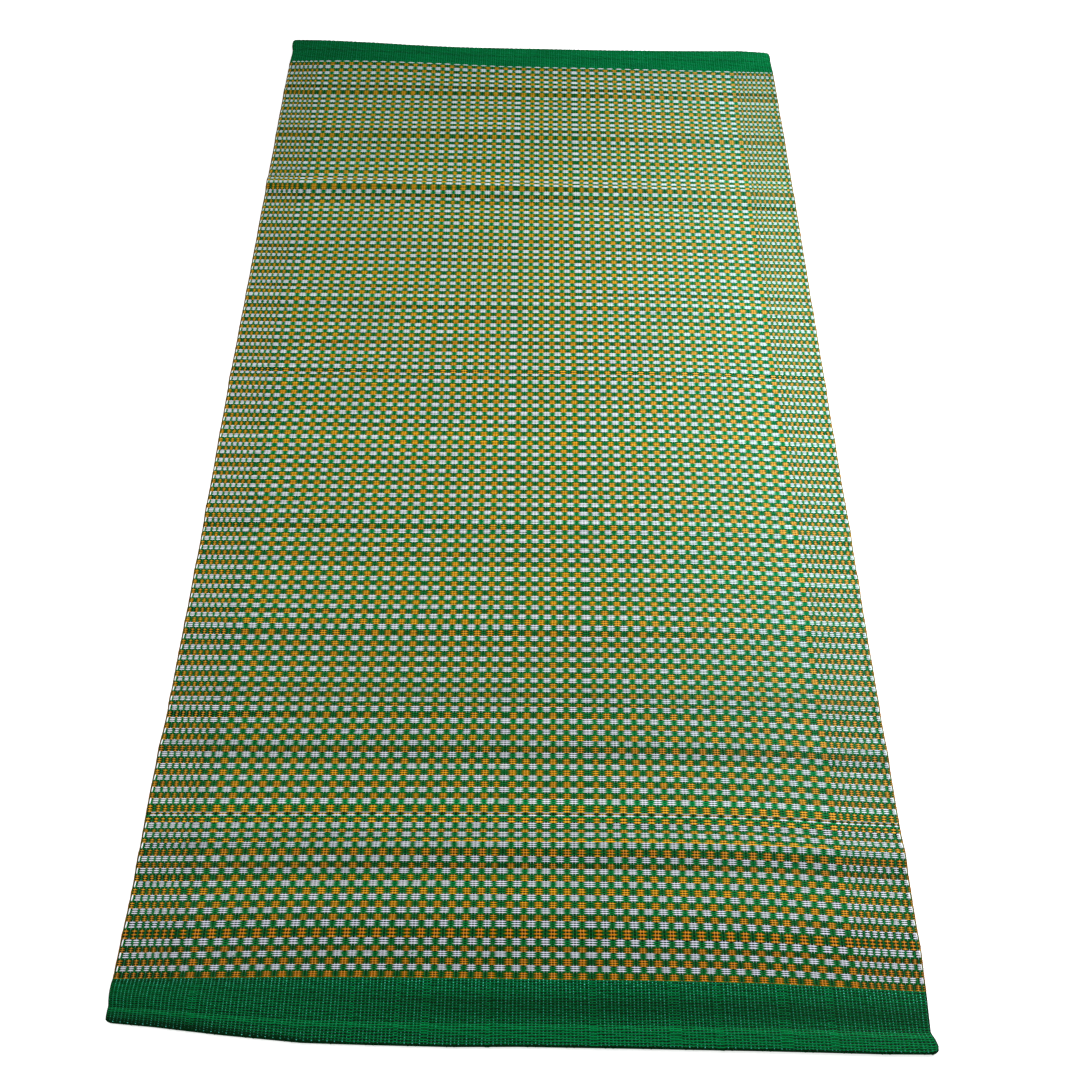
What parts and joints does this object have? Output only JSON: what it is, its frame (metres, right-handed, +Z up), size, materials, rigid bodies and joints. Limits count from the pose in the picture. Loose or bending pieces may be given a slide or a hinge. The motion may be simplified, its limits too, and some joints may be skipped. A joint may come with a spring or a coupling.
{
  "type": "plastic floor mat",
  "caption": "Rectangular woven plastic straw floor mat with a folded hem at each end and soft packing creases, lying flat.",
  "frame": {"origin": "middle of the bottom of the mat's box, on the floor under the mat's centre", "axes": "+X across the mat to the picture's right, +Y along it from the near hem to the far hem, +Z up"},
  "size_m": [0.9064, 1.7972, 0.0133],
  "materials": {
    "woven_mat": "satin woven polypropylene straw in green, white and orange checks"
  },
  "bodies": {
    "root": {"woven_mat": "woven_mat"}
  },
  "joints": []
}
